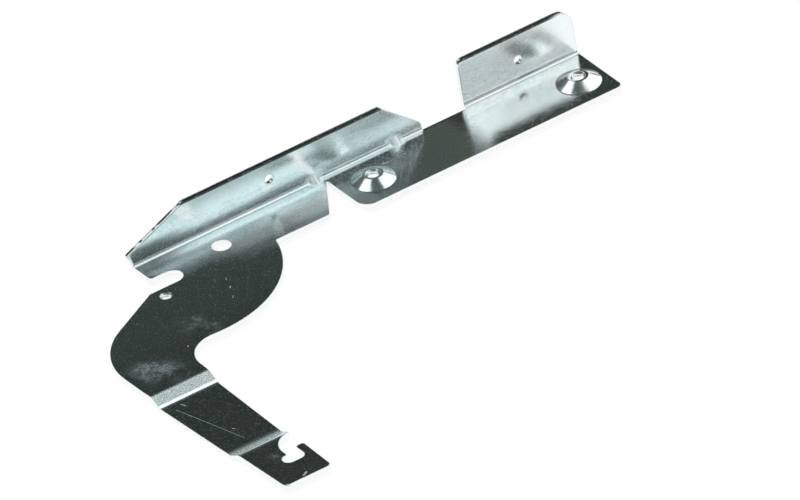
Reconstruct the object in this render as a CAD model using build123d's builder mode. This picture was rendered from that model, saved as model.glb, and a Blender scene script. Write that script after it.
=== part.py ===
from build123d import *
from math import radians, sqrt, tan
import os

# A dishwasher door hinge, stamped and folded from one zinc-plated steel sheet.
# X runs along the long fold, Y points to the back, Z is up.
# The origin is on the axis of the pivot bore, at the underside of the lever plate.

# Sheet
sheet = 2.0
bend_radius = 1.5

# Lever plate, measured from the pivot bore
pivot_bore = 8.2
lever_end = 34.5
band_front = 12.5
thread_bore = 4.2
thread_left = 36.7
thread_front = 15.0
thread_chamfer = 0.45
lobe_radius = 52.5
lobe_left = 33.0
lobe_corner_radius = 1.0

# Open pivot slot in the left end of the lever plate
slot_width = 9.2
slot_front = 4.7
slot_depth = 7.5
slot_lip = 6.3
slot_lip_radius = 2.0
lever_corner_radius = 1.5

# Gooseneck between the lobe and the arm
neck_angle = 30.0
elbow_radius = 36.0
bay_radius = 14.5
bay_land = 0.5

# Joggled arm, from its root at the gooseneck to its tip
arm_left = 68.3
arm_width = 28.4
arm_tip_width = 22.4
arm_root_length = 6.1
first_joggle_run = 5.5
joggle_depth = 3.0
joggle_radius = 6.0
arm_flat = 49.8
second_joggle_run = 6.0
end_tab_length = 32.6
arm_corner_radius = 2.0

# Spring hook slot in the arm's end tab
hook_width = 6.0
hook_from_tip = 15.9
hook_from_edge = 6.1
hook_reach = 3.8
hook_beak = 5.9
hook_mouth_radius = 11.0
hook_corner_radius = 0.5
hook_beak_radius = 1.2

# Back flange above the long fold
flange_front = 12.5
flange_height = 20.4
flange_left_lean = 1.7
flange_left_rise = 4.1
flange_left_cut = 29.2
flange_right = 105.2
flange_right_rise = 2.0
flange_right_cut = 17.5
flange_right_radius = 3.0
flange_hole = 4.2
flange_hole_right = 32.9
flange_hole_height = 12.5

# Door strip and the notch that parts it from the lever plate
strip_start = 57.0
strip_length = 124.8
strip_front = 18.8
strip_left_radius = 6.0
strip_right_radius = 2.5
notch_angle = 30.0
notch_bridge = 1.0
notch_root_radius = 0.6
notch_corner_radius = 1.5

# Upright tab at the end of the door strip
tab_length = 54.8
tab_setback = 2.0
tab_height = 23.4
tab_left_radius = 3.0
tab_right_radius = 7.0
tab_hole = 4.0
tab_hole_inset = 27.3
tab_hole_height = 11.3

# Pressed bosses with tapped holes
boss_inset = 14.0
boss_spacing = 99.2
boss_front = 4.1
boss_base = 18.6
boss_top = 8.6
boss_height = 3.0
boss_bore = 5.0
boss_chamfer = 0.7
boss_base_fillet = 2.0
boss_top_fillet = 0.6

# Stiffening darts pressed across the long fold
dart_leg = 4.5
dart_width = 6.0
dart_round = 2.4
dart_from_notch = 4.0
dart_from_end = 12.9

# Lines that the outline shares with the folds
fold_y = flange_front - bend_radius
tab_face_y = flange_front + tab_setback
tab_fold_y = tab_face_y - bend_radius
bend_top_z = sheet + bend_radius
strip_end = strip_start + strip_length
tab_start = strip_end - tab_length

# Corners of the lever plate and of the notch
slot_end_x = slot_depth - lever_end
slot_top_y = slot_width / 2 - slot_front
slot_bottom_y = slot_top_y - slot_width
slot_lip_x = -lever_end - slot_lip
arm_left_x = -arm_left - arm_width / 2
arm_right_x = -arm_left + arm_width / 2
elbow_y = slot_bottom_y - (slot_lip_x - arm_left_x) * tan(radians(neck_angle))
bay_corner_y = -sqrt(lobe_radius**2 - (arm_right_x + lobe_left) ** 2)
bay_centre_y = -sqrt((lobe_radius + bay_radius) ** 2 - (arm_right_x + bay_radius + lobe_left) ** 2)
bay_end_y = bay_centre_y - bay_land
lobe_band_x = sqrt(lobe_radius**2 - band_front**2) - lobe_left
notch_y = fold_y - notch_bridge
notch_x = strip_start - (notch_y + band_front) * tan(radians(notch_angle))

# Stations along the arm
first_joggle_y = bay_end_y - arm_root_length
arm_flat_y = first_joggle_y - first_joggle_run
second_joggle_y = arm_flat_y - arm_flat
end_tab_y = second_joggle_y - second_joggle_run
arm_tip_y = end_tab_y - end_tab_length

# Hook slot: a channel behind a beak, with a pocket to its left and a curved mouth above it
hook_pocket_y = arm_tip_y + hook_from_tip
hook_channel_x = -arm_left + arm_tip_width / 2 - hook_from_edge
hook_side_x = hook_channel_x - hook_width / 2
hook_beak_y = hook_pocket_y + hook_beak


def corner(sketch, x, y):
    """The corner of a sketch that lies nearest to a point of its outline."""
    return sketch.vertices().sort_by_distance((x, y, 0))[0]


# Joggled arm: a bent strip, trimmed to a tapered outline with a hook slot at its end
with BuildPart() as lever_arm:
    with BuildSketch(Plane.YZ.offset(arm_left_x)):
        with BuildLine():
            FilletPolyline(
                (bay_end_y, sheet / 2),
                (first_joggle_y, sheet / 2),
                (arm_flat_y, sheet / 2 - joggle_depth),
                (second_joggle_y, sheet / 2 - joggle_depth),
                (end_tab_y, sheet / 2),
                (arm_tip_y, sheet / 2),
                radius=joggle_radius,
            )
        trace(line_width=sheet)
    extrude(amount=arm_width)
    with BuildSketch(Plane.XY) as arm_plan:
        with BuildLine():
            Polyline(
                (arm_left_x, bay_end_y),
                (-arm_left - arm_tip_width / 2, arm_tip_y),
                (-arm_left + arm_tip_width / 2, arm_tip_y),
                (arm_right_x, bay_end_y),
                close=True,
            )
        make_face()
        fillet(arm_plan.vertices().group_by(Axis.Y)[0], radius=arm_corner_radius)
        with Locations((hook_channel_x - hook_reach / 2, hook_pocket_y)):
            SlotCenterToCenter(hook_reach, hook_width, mode=Mode.SUBTRACT)
        with Locations((hook_channel_x, hook_pocket_y)):
            Rectangle(
                hook_width,
                hook_beak,
                align=(Align.CENTER, Align.MIN),
                mode=Mode.SUBTRACT,
            )
        with BuildLine():
            mouth_centre = (hook_side_x + hook_mouth_radius, hook_beak_y)
            mouth = CenterArc(mouth_centre, hook_mouth_radius, 180, -90)
            mouth_right_x = (mouth @ 1).X + hook_from_edge
            Polyline(
                mouth @ 1,
                (mouth_right_x, (mouth @ 1).Y),
                (mouth_right_x, hook_beak_y),
                mouth @ 0,
            )
        make_face(mode=Mode.SUBTRACT)
        fillet(corner(arm_plan, hook_side_x, hook_pocket_y + hook_width / 2), radius=hook_corner_radius)
        for beak_x in (hook_side_x + hook_width, -arm_left + arm_tip_width / 2):
            fillet(corner(arm_plan, beak_x, hook_beak_y), radius=hook_beak_radius)
    extrude(amount=joggle_depth + sheet, both=True, mode=Mode.INTERSECT)

# Dart: a rounded rib across the inside of the fold, at a slant of 45 degrees
dart_height = dart_leg / sqrt(2)
dart_flank = sqrt(dart_height**2 + (dart_width / 2) ** 2)
dart_crest = dart_height - dart_round * (2 * dart_flank / dart_width - 1)
dart_plane = Plane(origin=(0, flange_front, sheet), x_dir=(1, 0, 0), z_dir=(0, 1, 1))
with BuildPart() as dart:
    with BuildSketch(Plane.YZ):
        with BuildLine():
            Polyline(
                (flange_front - dart_leg, sheet),
                (flange_front, sheet + dart_leg),
                (flange_front, sheet),
                close=True,
            )
        make_face()
    extrude(amount=dart_width / 2, both=True)
    with BuildSketch(dart_plane) as dart_section:
        with BuildLine():
            Polyline((-dart_width / 2, 0), (dart_width / 2, 0), (0, -dart_height), close=True)
        make_face()
        fillet(corner(dart_section, 0, -dart_height), radius=dart_round)
    extrude(amount=dart_leg, both=True, mode=Mode.INTERSECT)

# Dent: the groove that the dart leaves on the outside of the fold
dent_depth = dart_crest + sheet
dent_width = dart_width * dent_depth / dart_height
with BuildPart() as dent:
    with BuildSketch(dart_plane):
        with Locations((0, sheet - dart_crest)):
            with BuildLine():
                Polyline((0, 0), (dent_width / 2, dent_depth), (-dent_width / 2, dent_depth), close=True)
            make_face()
    extrude(amount=dart_leg, both=True)

# The folded sheet
with BuildPart() as hinge_bracket:
    # Lever plate and door strip, flat in one plane
    with BuildSketch(Plane.XY) as blank:
        with BuildLine():
            lobe_end = (lobe_band_x, -band_front)
            slot_end = ThreePointArc(
                (slot_end_x, slot_top_y),
                (slot_end_x + slot_width / 2, -slot_front),
                (slot_end_x, slot_bottom_y),
            )
            Polyline(
                slot_end @ 1,
                (slot_lip_x, slot_bottom_y),
                (arm_left_x, elbow_y),
                (arm_left_x, bay_end_y),
                (arm_right_x, bay_end_y),
                (arm_right_x, bay_corner_y),
            )
            RadiusArc((arm_right_x, bay_corner_y), lobe_end, -lobe_radius)
            Polyline(
                lobe_end,
                (notch_x, -band_front),
                (strip_start, notch_y),
                (strip_start, -strip_front),
                (strip_end, -strip_front),
                (strip_end, tab_fold_y),
                (tab_start, tab_fold_y),
                (tab_start, flange_front),
                (flange_right, flange_front),
                (flange_right, fold_y),
                (-lever_end, fold_y),
                (-lever_end, slot_top_y),
                slot_end @ 0,
            )
        make_face()
        fillet(corner(blank, -lever_end, slot_top_y), radius=lever_corner_radius)
        fillet(corner(blank, slot_lip_x, slot_bottom_y), radius=slot_lip_radius)
        fillet(corner(blank, arm_left_x, elbow_y), radius=elbow_radius)
        fillet(corner(blank, arm_right_x, bay_corner_y), radius=bay_radius)
        fillet(corner(blank, lobe_band_x, -band_front), radius=lobe_corner_radius)
        fillet(corner(blank, notch_x, -band_front), radius=notch_corner_radius)
        fillet(corner(blank, strip_start, notch_y), radius=notch_root_radius)
        fillet(corner(blank, strip_start, -strip_front), radius=strip_left_radius)
        fillet(corner(blank, strip_end, -strip_front), radius=strip_right_radius)
        Circle(pivot_bore / 2, mode=Mode.SUBTRACT)
    extrude(amount=sheet)

    # Quarter-round bends below the two flanges
    for start_x, end_x, line_y in (
        (-lever_end, flange_right, fold_y),
        (tab_start, strip_end, tab_fold_y),
    ):
        with BuildSketch(Plane.YZ.offset(start_x)):
            with BuildLine():
                CenterArc((line_y, bend_top_z), bend_radius + sheet / 2, -90, 90)
            trace(line_width=sheet)
        extrude(amount=end_x - start_x)

    # Back flange with its two slanted ends
    with BuildSketch(Plane.XZ.offset(-flange_front)) as flange_outline:
        with BuildLine():
            left_x = -lever_end - flange_left_lean
            Polyline(
                (-lever_end, bend_top_z),
                (left_x, bend_top_z + flange_left_rise),
                (left_x + flange_left_cut, flange_height),
                (flange_right - flange_right_cut, flange_height),
                (flange_right, bend_top_z + flange_right_rise),
                (flange_right, bend_top_z),
                close=True,
            )
        make_face()
        right_corner = corner(flange_outline, flange_right, bend_top_z + flange_right_rise)
        fillet(right_corner, radius=flange_right_radius)
        with Locations((flange_hole_right, flange_hole_height)):
            Circle(flange_hole / 2, mode=Mode.SUBTRACT)
    extrude(amount=-sheet)

    # Upright tab with rounded top corners
    with BuildSketch(Plane.XZ.offset(-tab_face_y)) as tab_outline:
        with BuildLine():
            Polyline(
                (tab_start, bend_top_z),
                (tab_start, tab_height),
                (strip_end, tab_height),
                (strip_end, bend_top_z),
                close=True,
            )
        make_face()
        fillet(corner(tab_outline, tab_start, tab_height), radius=tab_left_radius)
        fillet(corner(tab_outline, strip_end, tab_height), radius=tab_right_radius)
        with Locations((strip_end - tab_hole_inset, tab_hole_height)):
            Circle(tab_hole / 2, mode=Mode.SUBTRACT)
    extrude(amount=-sheet)

    # Pressed bosses: the sheet's section, drawn up into a cone around each tapped hole
    for boss_x in (strip_start + boss_inset, strip_start + boss_inset + boss_spacing):
        boss_plane = Plane(origin=(boss_x, -boss_front, 0), x_dir=(1, 0, 0), z_dir=(0, -1, 0))
        rim = (boss_base + boss_base_fillet) / 2
        with BuildSketch(boss_plane):
            with Locations((0, sheet / 2)):
                Rectangle(rim, sheet, align=(Align.MIN, Align.CENTER))
        revolve(axis=Axis((boss_x, -boss_front, 0), (0, 0, 1)), mode=Mode.SUBTRACT)
        with BuildSketch(boss_plane) as boss_section:
            with BuildLine():
                Polyline(
                    (rim, 0),
                    (rim, sheet),
                    (boss_base / 2, sheet),
                    (boss_top / 2, sheet + boss_height),
                    (boss_bore / 2 + boss_chamfer, sheet + boss_height),
                    (boss_bore / 2, sheet + boss_height - boss_chamfer),
                    (boss_bore / 2, boss_height),
                    (boss_top / 2, boss_height),
                    (boss_base / 2, 0),
                    close=True,
                )
            make_face()
            fillet(corner(boss_section, boss_base / 2, sheet), radius=boss_base_fillet)
            fillet(corner(boss_section, boss_top / 2, sheet + boss_height), radius=boss_top_fillet)
        revolve(axis=Axis((boss_x, -boss_front, 0), (0, 0, 1)))

    # Tapped hole of the lever plate
    with Locations((-thread_left, -thread_front, sheet)):
        CounterSinkHole(
            thread_bore / 2,
            thread_bore / 2 + thread_chamfer,
            depth=sheet,
            counter_sink_angle=90,
        )

    # Joggled arm and the two darts
    add(lever_arm.part)
    with Locations((strip_start - dart_from_notch, 0, 0), (flange_right - dart_from_end, 0, 0)):
        add(dent.part, mode=Mode.SUBTRACT)
        add(dart.part)

os.makedirs("parts", exist_ok=True)
hinge_bracket.part.label = "hinge_bracket"
export_step(hinge_bracket.part, "parts/hinge_bracket.step")
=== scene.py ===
import math

import bmesh
import bpy
import numpy as np
from mathutils import Matrix, Vector


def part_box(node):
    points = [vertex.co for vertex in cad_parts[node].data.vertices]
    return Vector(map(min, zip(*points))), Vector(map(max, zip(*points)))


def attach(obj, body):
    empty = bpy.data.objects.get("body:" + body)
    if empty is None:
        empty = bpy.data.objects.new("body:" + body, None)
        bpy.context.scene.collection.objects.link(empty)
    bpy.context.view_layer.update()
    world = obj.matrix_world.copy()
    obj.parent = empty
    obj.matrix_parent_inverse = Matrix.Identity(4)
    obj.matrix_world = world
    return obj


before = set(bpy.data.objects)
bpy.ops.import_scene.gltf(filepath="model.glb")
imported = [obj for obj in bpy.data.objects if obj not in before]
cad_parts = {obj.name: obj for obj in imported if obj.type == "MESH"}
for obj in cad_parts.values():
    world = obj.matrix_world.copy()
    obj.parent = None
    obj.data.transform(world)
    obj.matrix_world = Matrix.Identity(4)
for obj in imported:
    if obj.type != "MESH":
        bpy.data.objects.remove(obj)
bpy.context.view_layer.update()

# Hinge bracket: lever plate, joggled arm, back flange, door strip and end tab in one sheet.
# Made of 2 mm steel with a bright, blue-passivated zinc plating.
# Stamped and folded first and plated afterwards, so the plating covers the cut edges too.
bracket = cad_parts["hinge_bracket"]
zinc = bpy.data.materials.new("zinc_plated_steel")
zinc.use_nodes = True
nodes, links = zinc.node_tree.nodes, zinc.node_tree.links
nodes.clear()


def put(kind, settings, sockets):
    """Adds a node, sets its properties, and gives each named input a value or a link."""
    node = nodes.new(kind)
    for name, value in settings.items():
        setattr(node, name, value)
    for name, value in sockets.items():
        if isinstance(value, bpy.types.NodeSocket):
            links.new(value, node.inputs[name])
        else:
            node.inputs[name].default_value = value
    return node


def maths(operation, first, second=0.0):
    """The result of one arithmetic step on two values."""
    return put("ShaderNodeMath", {"operation": operation}, {0: first, 1: second}).outputs[0]


def times(first, *others):
    """The product of two or more values."""
    for other in others:
        first = maths("MULTIPLY", first, other)
    return first


def vector_maths(operation, sockets, output="Vector"):
    """The result of one step of vector arithmetic."""
    return put("ShaderNodeVectorMath", {"operation": operation}, sockets).outputs[output]


def ramp(value, low, high, at_low=0.0, at_high=1.0):
    """A smooth step from one value to another between two limits."""
    sockets = {"Value": value, "From Min": low, "From Max": high, "To Min": at_low, "To Max": at_high}
    return put("ShaderNodeMapRange", {"interpolation_type": "SMOOTHSTEP"}, sockets).outputs["Result"]


def noise(vector, scale, detail, roughness=0.5):
    """A noise field of the given fineness, in waves per millimetre."""
    sockets = {"Vector": vector, "Scale": scale, "Detail": detail, "Roughness": roughness}
    return put("ShaderNodeTexNoise", {}, sockets).outputs["Fac"]


def near_point(point):
    """The distance in millimetres to a point."""
    return vector_maths("DISTANCE", {0: mm, 1: point}, "Value")


def near_line(first, last):
    """The distance in millimetres to the straight line between two points."""
    run = Vector(last) - Vector(first)
    offset = vector_maths("SUBTRACT", {0: mm, 1: first})
    share = vector_maths("DOT_PRODUCT", {0: offset, 1: run / run.length_squared}, "Value")
    share = put("ShaderNodeClamp", {}, {"Value": share}).outputs["Result"]
    foot = vector_maths("SCALE", {0: run, "Scale": share})
    return vector_maths("DISTANCE", {0: offset, 1: foot}, "Value")


def blend(share, first, second):
    """A colour between two others."""
    sockets = {"Factor": share, "A": first, "B": second}
    return put("ShaderNodeMix", {"data_type": "RGBA"}, sockets).outputs["Result"]


def bump(height, strength, depth, normal):
    """A normal bent by a height field, with its depth in metres."""
    sockets = {"Height": height, "Strength": strength, "Distance": depth, "Normal": normal}
    return put("ShaderNodeBump", {}, sockets).outputs["Normal"]


place = put("ShaderNodeTexCoord", {}, {}).outputs
per_metre = (1000.0, 1000.0, 1000.0)
mm = put("ShaderNodeMapping", {}, {"Vector": place["Object"], "Scale": per_metre}).outputs["Vector"]
axes = put("ShaderNodeSeparateXYZ", {}, {"Vector": mm}).outputs
side = put("ShaderNodeSeparateXYZ", {}, {"Vector": place["Normal"]}).outputs
grain = noise(mm, 1.7, 4.0, 0.7)
mottle = noise(mm, 0.35, 3.0, 0.6)
cloud = noise(mm, 0.05, 3.0, 0.5)
specks = ramp(noise(mm, 1.4, 3.0, 0.8), 0.46, 0.76)

# Milky patches of thicker passivation on the lever plate and the arm's end, each round a point and broken up by noise.
milky = 0.0
for spot, reach in (
    ((-40.3, -39.4, 2.0), 10.0),
    ((-35.5, -48.0, 2.0), 6.0),
    ((-70.0, -57.4, 2.0), 16.0),
    ((-65.0, -65.0, 2.0), 11.0),
    ((-70.0, -148.0, 2.0), 7.0),
):
    milky = maths("MAXIMUM", milky, ramp(near_point(spot), reach, 0.2 * reach))
coarse = ramp(noise(mm, 0.11, 5.0, 0.6), 0.30, 0.68)
fine = ramp(noise(mm, 0.9, 4.0, 0.75), 0.35, 0.65, 0.45, 1.0)
milky = times(milky, coarse, fine)

# Scratches and small knocks on the arm, the lever plate and the door strip, each from a point to a point.
marks = 0.0
for first, last, width in (
    ((-77.9, -84.0, -1.0), (-73.6, -102.3, -1.0), 0.16),
    ((-73.6, -102.3, -1.0), (-69.3, -121.5, -1.0), 0.13),
    ((-74.3, -82.0, -1.0), (-73.4, -84.4, -1.0), 0.35),
    ((-69.0, -111.8, -1.0), (-68.4, -112.8, -1.0), 0.30),
    ((80.0, 2.9, 2.0), (82.2, 2.6, 2.0), 0.45),
    ((82.2, 2.6, 2.0), (91.0, 2.9, 2.0), 0.14),
    ((-12.0, -21.4, 2.0), (-12.6, -22.6, 2.0), 0.25),
    ((-14.2, -27.8, 2.0), (-14.8, -28.8, 2.0), 0.25),
    ((-17.2, -34.5, 2.0), (-17.9, -35.5, 2.0), 0.25),
    ((-50.4, -51.8, 2.0), (-51.0, -52.6, 2.0), 0.30),
    ((-69.6, -165.6, 2.0), (-67.6, -164.6, 2.0), 0.75),
    ((-79.0, -166.6, 2.0), (-77.4, -166.9, 1.4), 0.80),
):
    marks = maths("MAXIMUM", marks, ramp(near_line(first, last), width, 0.4 * width))

# Drawn skin of the two joggle ramps, where the plating is crazed and dull, and a smooth line pressed along the
# first ramp's foot.
arm_top = times(ramp(axes["X"], -50.0, -53.0), ramp(side["Z"], 0.4, 0.7))
first_ramp = times(ramp(axes["Y"], -78.1, -77.3), ramp(axes["Y"], -71.6, -75.0))
second_ramp = times(ramp(axes["Y"], -133.2, -132.0), ramp(axes["Y"], -124.0, -131.0))
drawn = times(maths("MAXIMUM", first_ramp, second_ramp), arm_top)
crazed = noise(mm, 1.3, 3.0, 0.75)
pressed = times(ramp(axes["Y"], -79.1, -78.5), ramp(axes["Y"], -77.5, -78.1), arm_top)

# Drawing lines along the two flanges, left by the folding tool.
flange = ramp(axes["Y"], 12.0, 12.5)
along = put("ShaderNodeMapping", {}, {"Vector": mm, "Scale": (0.035, 1.0, 0.9)}).outputs["Vector"]
lines = noise(along, 1.0, 4.0, 0.65)

# The two darts across the long fold, stretched by the press.
darts = 0.0
for middle in ((53.0, 12.5, 2.0), (92.3, 12.5, 2.0)):
    darts = maths("MAXIMUM", darts, ramp(near_point(middle), 5.0, 3.0))

# The lever plate's front right edge curls up by 5 to 9 degrees, under a thin milky cover that ends before the edge.
lever_right = ramp(axes["X"], 58.0, 53.0)
curl = maths("ADD", ramp(axes["X"], -12.0, 12.0, 0.0, 0.095), ramp(axes["X"], 26.0, 38.0, 0.0, 0.06))
curl = times(curl, ramp(axes["Y"], 4.0, -9.0), lever_right, ramp(axes["Y"], -22.0, -12.0))
film = maths("ADD", ramp(axes["X"], -12.0, 12.0, 0.0, 0.13), ramp(axes["X"], 26.0, 38.0, 0.0, 0.10))
film = times(film, ramp(axes["Y"], 5.0, -2.0), ramp(axes["Y"], -12.0, -5.0), lever_right)

# Colour: blue passivation, deepest on the lever plate and thinner towards the end tab, with painted near-white
# highlights on the plates' sheared edges, and duller, mottled zinc on the flanges' outer faces.
thin = maths("ADD", ramp(cloud, 0.35, 0.65, 0.0, 0.4), ramp(axes["X"], 60.0, 135.0, 0.0, 0.6))
cover = blend(thin, (0.76, 0.885, 0.89, 1.0), (0.91, 0.955, 0.945, 1.0))
cover = blend(milky, cover, (0.72, 0.88, 0.95, 1.0))
# Painted highlight: the plates' sheared edges are painted near-white, standing in for the white table they mirror.
painted_edge_highlight = times(ramp(maths("ABSOLUTE", side["Z"]), 0.55, 0.35), ramp(axes["Z"], 1.95, 1.75))
cover = blend(painted_edge_highlight, cover, (0.94, 0.95, 0.94, 1.0))
# Painted reflection of the dark room: dark patches, broken up by noise, on the back flange's slanted left end.
slanted = times(ramp(axes["Y"], 13.1, 13.5), ramp(maths("ABSOLUTE", side["Y"]), 0.6, 0.4))
painted_dark_end = times(slanted, ramp(axes["X"], -6.5, -7.5), ramp(axes["Z"], 4.0, 6.0))
painted_dark_end = times(painted_dark_end, ramp(noise(mm, 0.22, 2.0, 0.6), 0.44, 0.50))
cover = blend(painted_dark_end, cover, (0.05, 0.055, 0.05, 1.0))
outer_face = times(ramp(side["Y"], 0.5, 0.8), ramp(noise(along, 0.5, 5.0, 0.7), 0.32, 0.68, 0.45, 1.0))
cover = blend(outer_face, cover, (0.47, 0.54, 0.545, 1.0))
# Painted reflection of the dark room: a dark, mottled band 0.9 mm deep along the top edges of the back flange
# and the end tab.
painted_dark_edge = times(ramp(axes["Z"], 19.3, 19.7), ramp(axes["Y"], 13.6, 13.3))
painted_dark_edge_tab = times(ramp(axes["Z"], 22.3, 22.7), ramp(axes["Y"], 15.6, 15.3), ramp(axes["X"], 178.0, 170.0))
painted_dark_edge = times(maths("MAXIMUM", painted_dark_edge, painted_dark_edge_tab), ramp(mottle, 0.3, 0.5, 0.75, 0.97))
cover = blend(painted_dark_edge, cover, (0.055, 0.065, 0.06, 1.0))

# Roughness: bright plating with fine specks, duller where it is rubbed behind the two bosses and on the curled edge,
# on the darts, in milky patches, on the joggle ramps and in scratches.
behind_left = times(ramp(axes["X"], 40.0, 58.0, 0.0, 0.13), ramp(axes["X"], 100.0, 76.0))
behind_right = times(ramp(axes["X"], 136.0, 152.0, 0.0, 0.09), ramp(axes["X"], 182.0, 168.0))
rubbed = times(maths("MAXIMUM", behind_left, behind_right), flange, ramp(axes["Z"], 6.0, 12.0))
rubbed = maths("ADD", rubbed, times(curl, 1.2))
sheen = maths("ADD", ramp(mottle, 0.3, 0.7, 0.11, 0.15), rubbed)
sheen = maths("ADD", sheen, times(specks, ramp(rubbed, 0.0, 0.13, 0.19, 0.05)))
sheen = maths("ADD", sheen, times(flange, ramp(lines, 0.35, 0.65, 0.0, 0.035)))
for dull in (
    times(darts, 0.24),
    times(milky, 0.45),
    times(drawn, ramp(crazed, 0.38, 0.62, 0.22, 0.45)),
    times(marks, 0.65),
):
    sheen = maths("MAXIMUM", sheen, dull)

# Metal: milky, stretched and drawn plating is less metallic.
bright = ramp(milky, 0.0, 1.0, 1.0, 0.88)
for loss in (times(drawn, 0.16), times(darts, 0.40), film):
    bright = maths("SUBTRACT", bright, loss)

# The folds aren't quite square. The lever plate, the door strip and the end tab's foot are 1 to 5 degrees off, and the
# back flange bows forward to its top edge and twists at its left end, by up to about 12 degrees.
square = ramp(axes["X"], 53.0, 58.0, -0.045, 0.083)
square = maths("ADD", square, ramp(axes["X"], 112.0, 127.0, 0.0, -0.108))
square = maths("ADD", square, curl)
square = times(square, ramp(axes["Y"], 12.0, 10.6), ramp(axes["Y"], -70.0, -30.0))
square = maths("ADD", square, times(pressed, -0.12))
upper = times(ramp(axes["Z"], 11.8, 17.5), ramp(axes["X"], 26.0, 38.0, -0.044, -0.13))
bow = maths("ADD", ramp(axes["Z"], 4.0, 9.5, 0.03, ramp(axes["X"], 18.0, 36.0, -0.087, -0.062)), upper)
bow_right = maths("ADD", ramp(axes["Z"], 9.0, 4.0, 0.0, -0.075), ramp(axes["Z"], 10.5, 17.0, 0.0, -0.087))
lean = {"Factor": ramp(axes["X"], 52.0, 62.0), "A": bow, "B": bow_right}
lean = put("ShaderNodeMix", {}, lean).outputs["Result"]
lean = times(lean, flange, ramp(axes["X"], 112.0, 108.0))
twist = times(ramp(axes["X"], 8.0, -28.0, 0.0, -0.20), ramp(axes["Z"], 12.5, 7.5), flange)
twist = maths("ADD", twist, times(pressed, 0.17))
tilt = put("ShaderNodeCombineXYZ", {}, {"X": twist, "Y": square, "Z": lean}).outputs["Vector"]

# Relief: rounded edges, more worn on the flanges, then the drawing lines, a slight waviness, the crazed joggles and
# the plating's grain.
edge = 0.0004
worn = maths("MAXIMUM", ramp(axes["X"], -6.0, -8.0, edge, 0.0009), ramp(axes["Z"], 6.0, 9.0, edge, 0.0008))
worn = maths("MAXIMUM", times(worn, ramp(axes["Y"], 12.2, 12.4)), edge)
relief = put("ShaderNodeBevel", {"samples": 4}, {"Radius": worn}).outputs["Normal"]
relief = vector_maths("NORMALIZE", {0: vector_maths("ADD", {0: relief, 1: tilt})})
for height, strength, depth in (
    (lines, times(flange, 0.025), 0.0005),
    (mottle, 0.025, 0.0008),
    (crazed, times(drawn, 0.9), 0.0009),
    (grain, maths("ADD", 0.04, times(marks, 0.3)), 0.0003),
):
    relief = bump(height, strength, depth, relief)
surface = {"Base Color": cover, "Metallic": bright, "Roughness": sheen, "Normal": relief}
surface = put("ShaderNodeBsdfPrincipled", {}, surface)
put("ShaderNodeOutputMaterial", {}, {"Surface": surface.outputs["BSDF"]})
bracket.data.materials.clear()
bracket.data.materials.append(zinc)

# Threads: the tapped screw threads in the lever plate and in the two pressed bosses.
# Made of the sheet's own plated steel, so they take the bracket's material.
# Each is a helical ridge on the wall of its bore, from its axis, its two heights, bore radius and pitch.
for name, x, y, low, high, bore, pitch in (
    ("lever_thread", -36.7, -15.0, 0.25, 1.75, 2.1, 0.8),
    ("door_thread_left", 71.0, -4.1, 3.15, 4.65, 2.5, 1.0),
    ("door_thread_right", 170.2, -4.1, 3.15, 4.65, 2.5, 1.0),
):
    # Height rises evenly with the turned angle. The profile is a closed trapezoid of four points, with its
    # crest inside the bore and its foot in the wall, and it shrinks into the wall at both ends of the ridge.
    crest, foot, run_out, steps = -0.30, 0.12, 0.9, 144
    angle = np.linspace(0.0, 2.0 * np.pi * (high - low) / pitch, steps + 1)
    end = np.clip(np.minimum(angle, angle[-1] - angle) / run_out, 0.0, 1.0)
    radius = bore + np.array([[foot], [crest], [crest], [foot]]) * end + foot * (1.0 - end)
    height = low + pitch * angle / (2.0 * np.pi) + pitch * np.array([[-0.40], [-0.07], [0.07], [0.40]]) * end
    points = np.stack([x + radius * np.cos(angle), y + radius * np.sin(angle), height], axis=-1) / 1000.0
    row, column = np.meshgrid(np.arange(4), np.arange(steps), indexing="ij")
    start = row * (steps + 1) + column
    after = (row + 1) % 4 * (steps + 1) + column
    quads = np.stack([start, start + 1, after + 1, after], axis=-1)
    mesh = bpy.data.meshes.new(name)
    mesh.from_pydata(points.reshape(-1, 3).tolist(), [], quads.reshape(-1, 4).tolist())
    # The profile's four points meet at each end, so they are welded there.
    ridge = bmesh.new()
    ridge.from_mesh(mesh)
    bmesh.ops.remove_doubles(ridge, verts=ridge.verts, dist=1e-6)
    bmesh.ops.recalc_face_normals(ridge, faces=ridge.faces)
    ridge.to_mesh(mesh)
    ridge.free()
    mesh.shade_smooth()
    mesh.set_sharp_from_angle(angle=math.radians(30.0))
    mesh.materials.append(zinc)
    thread = bpy.data.objects.new(name, mesh)
    bpy.context.scene.collection.objects.link(thread)
    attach(thread, "root")

# Floor: a plain white studio table under the hinge, with its faint shadow.
# It is matt paper, laid at the level of the arm's underside, with a low upright rim far off on all four sides.
floor_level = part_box("hinge_bracket")[0][2]
half, rim_height = 8.0, 0.6
corners = half * np.array([[-1.0, -1.0], [1.0, -1.0], [1.0, 1.0], [-1.0, 1.0]])
levels = floor_level + np.array([0.0, -rim_height, rim_height])
rings = np.concatenate([np.tile(corners, (3, 1)), np.repeat(levels, 4)[:, None]], axis=1)
corner = np.arange(4)
following = (corner + 1) % 4
rim = np.stack([corner + 4, corner + 8, following + 8, following + 4], axis=1)
floor_mesh = bpy.data.meshes.new("floor")
floor_mesh.from_pydata(rings.tolist(), [], [(0, 1, 2, 3), *rim.tolist()])
floor = bpy.data.objects.new("floor", floor_mesh)
bpy.context.scene.collection.objects.link(floor)
paper = bpy.data.materials.new("white_paper")
paper.use_nodes = True
nodes, links = paper.node_tree.nodes, paper.node_tree.links
nodes.clear()
path = put("ShaderNodeLightPath", {}, {})
seen = maths("MAXIMUM", path.outputs["Is Camera Ray"], path.outputs["Is Glossy Ray"])
seen = maths("MAXIMUM", seen, path.outputs["Is Transmission Ray"])
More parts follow.
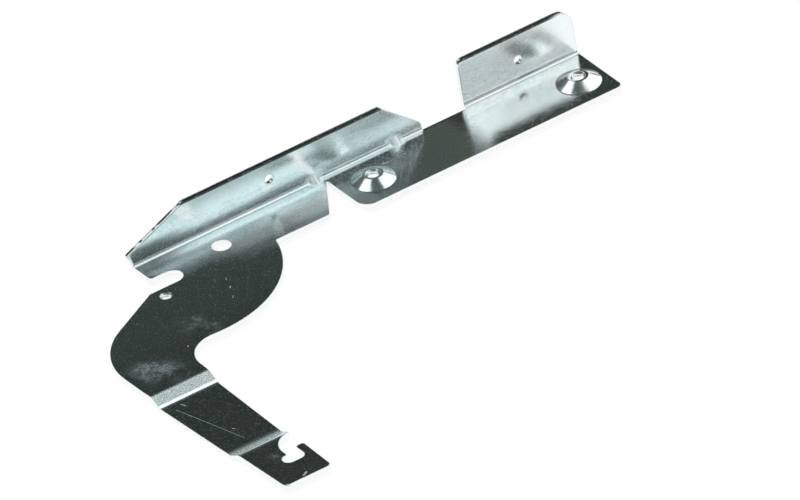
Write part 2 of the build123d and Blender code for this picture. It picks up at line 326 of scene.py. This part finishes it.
glow = put("ShaderNodeEmission", {}, {"Color": (1.0, 1.0, 1.0, 1.0), "Strength": 1.0})
matt = put("ShaderNodeBsdfDiffuse", {}, {"Color": (0.9, 0.9, 0.9, 1.0)})
both = {0: times(seen, 0.90), 1: matt.outputs["BSDF"], 2: glow.outputs["Emission"]}
both = put("ShaderNodeMixShader", {}, both)
put("ShaderNodeOutputMaterial", {}, {"Surface": both.outputs["Shader"]})
floor_mesh.materials.append(paper)

# Studio light: soft boxes overhead and at the left and right, and a banded window at the front, in a dark room.
# The room and the window are given by height, as stops with a brightness each.
# Each soft box is a round patch of the sky, given by its direction, its edges in degrees and its colour.
world = bpy.data.worlds.new("studio")
bpy.context.scene.world = world
world.use_nodes = True
nodes, links = world.node_tree.nodes, world.node_tree.links
nodes.clear()
direction = put("ShaderNodeTexCoord", {}, {}).outputs["Generated"]
height = put("ShaderNodeSeparateXYZ", {}, {"Vector": direction}).outputs
walls = []
for tint, stops in (
    (
        (0.87, 1.0, 0.89),
        ((0.42, 0.095), (0.50, 0.026), (0.545, 0.026), (0.60, 0.047), (0.80, 0.110), (1.0, 0.110)),
    ),
    (
        (1.0, 1.0, 1.02),
        (
            (0.08, 0.48), (0.13, 0.34), (0.21, 0.06), (0.40, 0.07), (0.444, 0.19),
            (0.472, 0.34), (0.499, 0.55), (0.551, 1.32), (0.575, 1.58), (0.60, 1.14),
            (0.66, 1.02), (0.722, 0.12), (0.785, 0.12), (0.84, 1.30), (1.0, 1.30),
        ),
    ),
):
    wall = put("ShaderNodeValToRGB", {}, {"Fac": height["Z"]})
    colours = [(*(glare * part for part in tint), 1.0) for _, glare in stops]
    for (stop, _), colour in zip(stops[:-1], colours):
        wall.color_ramp.elements.new(stop).color = colour
    wall.color_ramp.elements[0].color = colours[0]
    wall.color_ramp.elements[-1].color = colours[-1]
    walls.append(wall.outputs["Color"])
room, window = walls
front = times(ramp(height["Y"], -0.09, -0.20), ramp(height["X"], 0.10, 0.36, 0.12, 1.0))
sky = blend(front, room, window)
for centre, inner, outer, colour in (
    ((0.87, 0.30, 0.38), 12.0, 26.0, (1.35, 1.38, 1.40, 1.0)),
    ((0.66, 0.06, 0.75), 15.0, 26.0, (1.35, 1.38, 1.40, 1.0)),
    ((-0.36, 0.50, 0.79), 14.0, 25.0, (1.35, 1.38, 1.40, 1.0)),
    ((-0.62, -0.60, 0.48), 6.0, 20.0, (0.50, 0.51, 0.52, 1.0)),
):
    facing = vector_maths("DOT_PRODUCT", {0: direction, 1: Vector(centre).normalized()}, "Value")
    inside = ramp(facing, math.cos(math.radians(outer)), math.cos(math.radians(inner)))
    sky = blend(inside, sky, colour)
light = put("ShaderNodeBackground", {}, {"Color": sky, "Strength": 1.0})
put("ShaderNodeOutputWorld", {}, {"Surface": light.outputs["Background"]})

# Lamp: a broad sun over the table that gives the hinge its soft shadow.
# Its own image isn't seen in the metal, which mirrors the studio light.
sun = bpy.data.lights.new("sun", "SUN")
sun.energy = 3.0
sun.angle = math.radians(40.0)
lamp = bpy.data.objects.new("sun", sun)
lamp.rotation_euler = (math.radians(15.0), math.radians(-20.0), 0.0)
lamp.visible_glossy = False
bpy.context.scene.collection.objects.link(lamp)

# Camera: from the front left with no perspective, turned a little about its own axis.
# The image's centre lies beside the pivot bore, by the two shifts along its right and up axes.
turn, rise, roll = math.radians(-28.45), math.radians(32.47), math.radians(-9.21)
shift_right, shift_up, distance = 0.0714, -0.00188, 1.5
back = Vector((math.sin(turn) * math.cos(rise), -math.cos(turn) * math.cos(rise), math.sin(rise)))
level = Vector((math.cos(turn), math.sin(turn), 0.0))
across = level * math.cos(roll) + back.cross(level) * math.sin(roll)
upward = back.cross(across)
aim = Vector((0.0, 0.0, 0.002)) + across * shift_right + upward * shift_up
view = bpy.data.cameras.new("camera")
view.type = "ORTHO"
view.ortho_scale = 0.320
camera = bpy.data.objects.new("camera", view)
facing_back = Matrix((across, upward, back)).transposed().to_4x4()
camera.matrix_world = Matrix.Translation(aim + back * distance) @ facing_back
bpy.context.scene.collection.objects.link(camera)
bpy.context.scene.camera = camera
bpy.context.scene.view_settings.view_transform = "Standard"
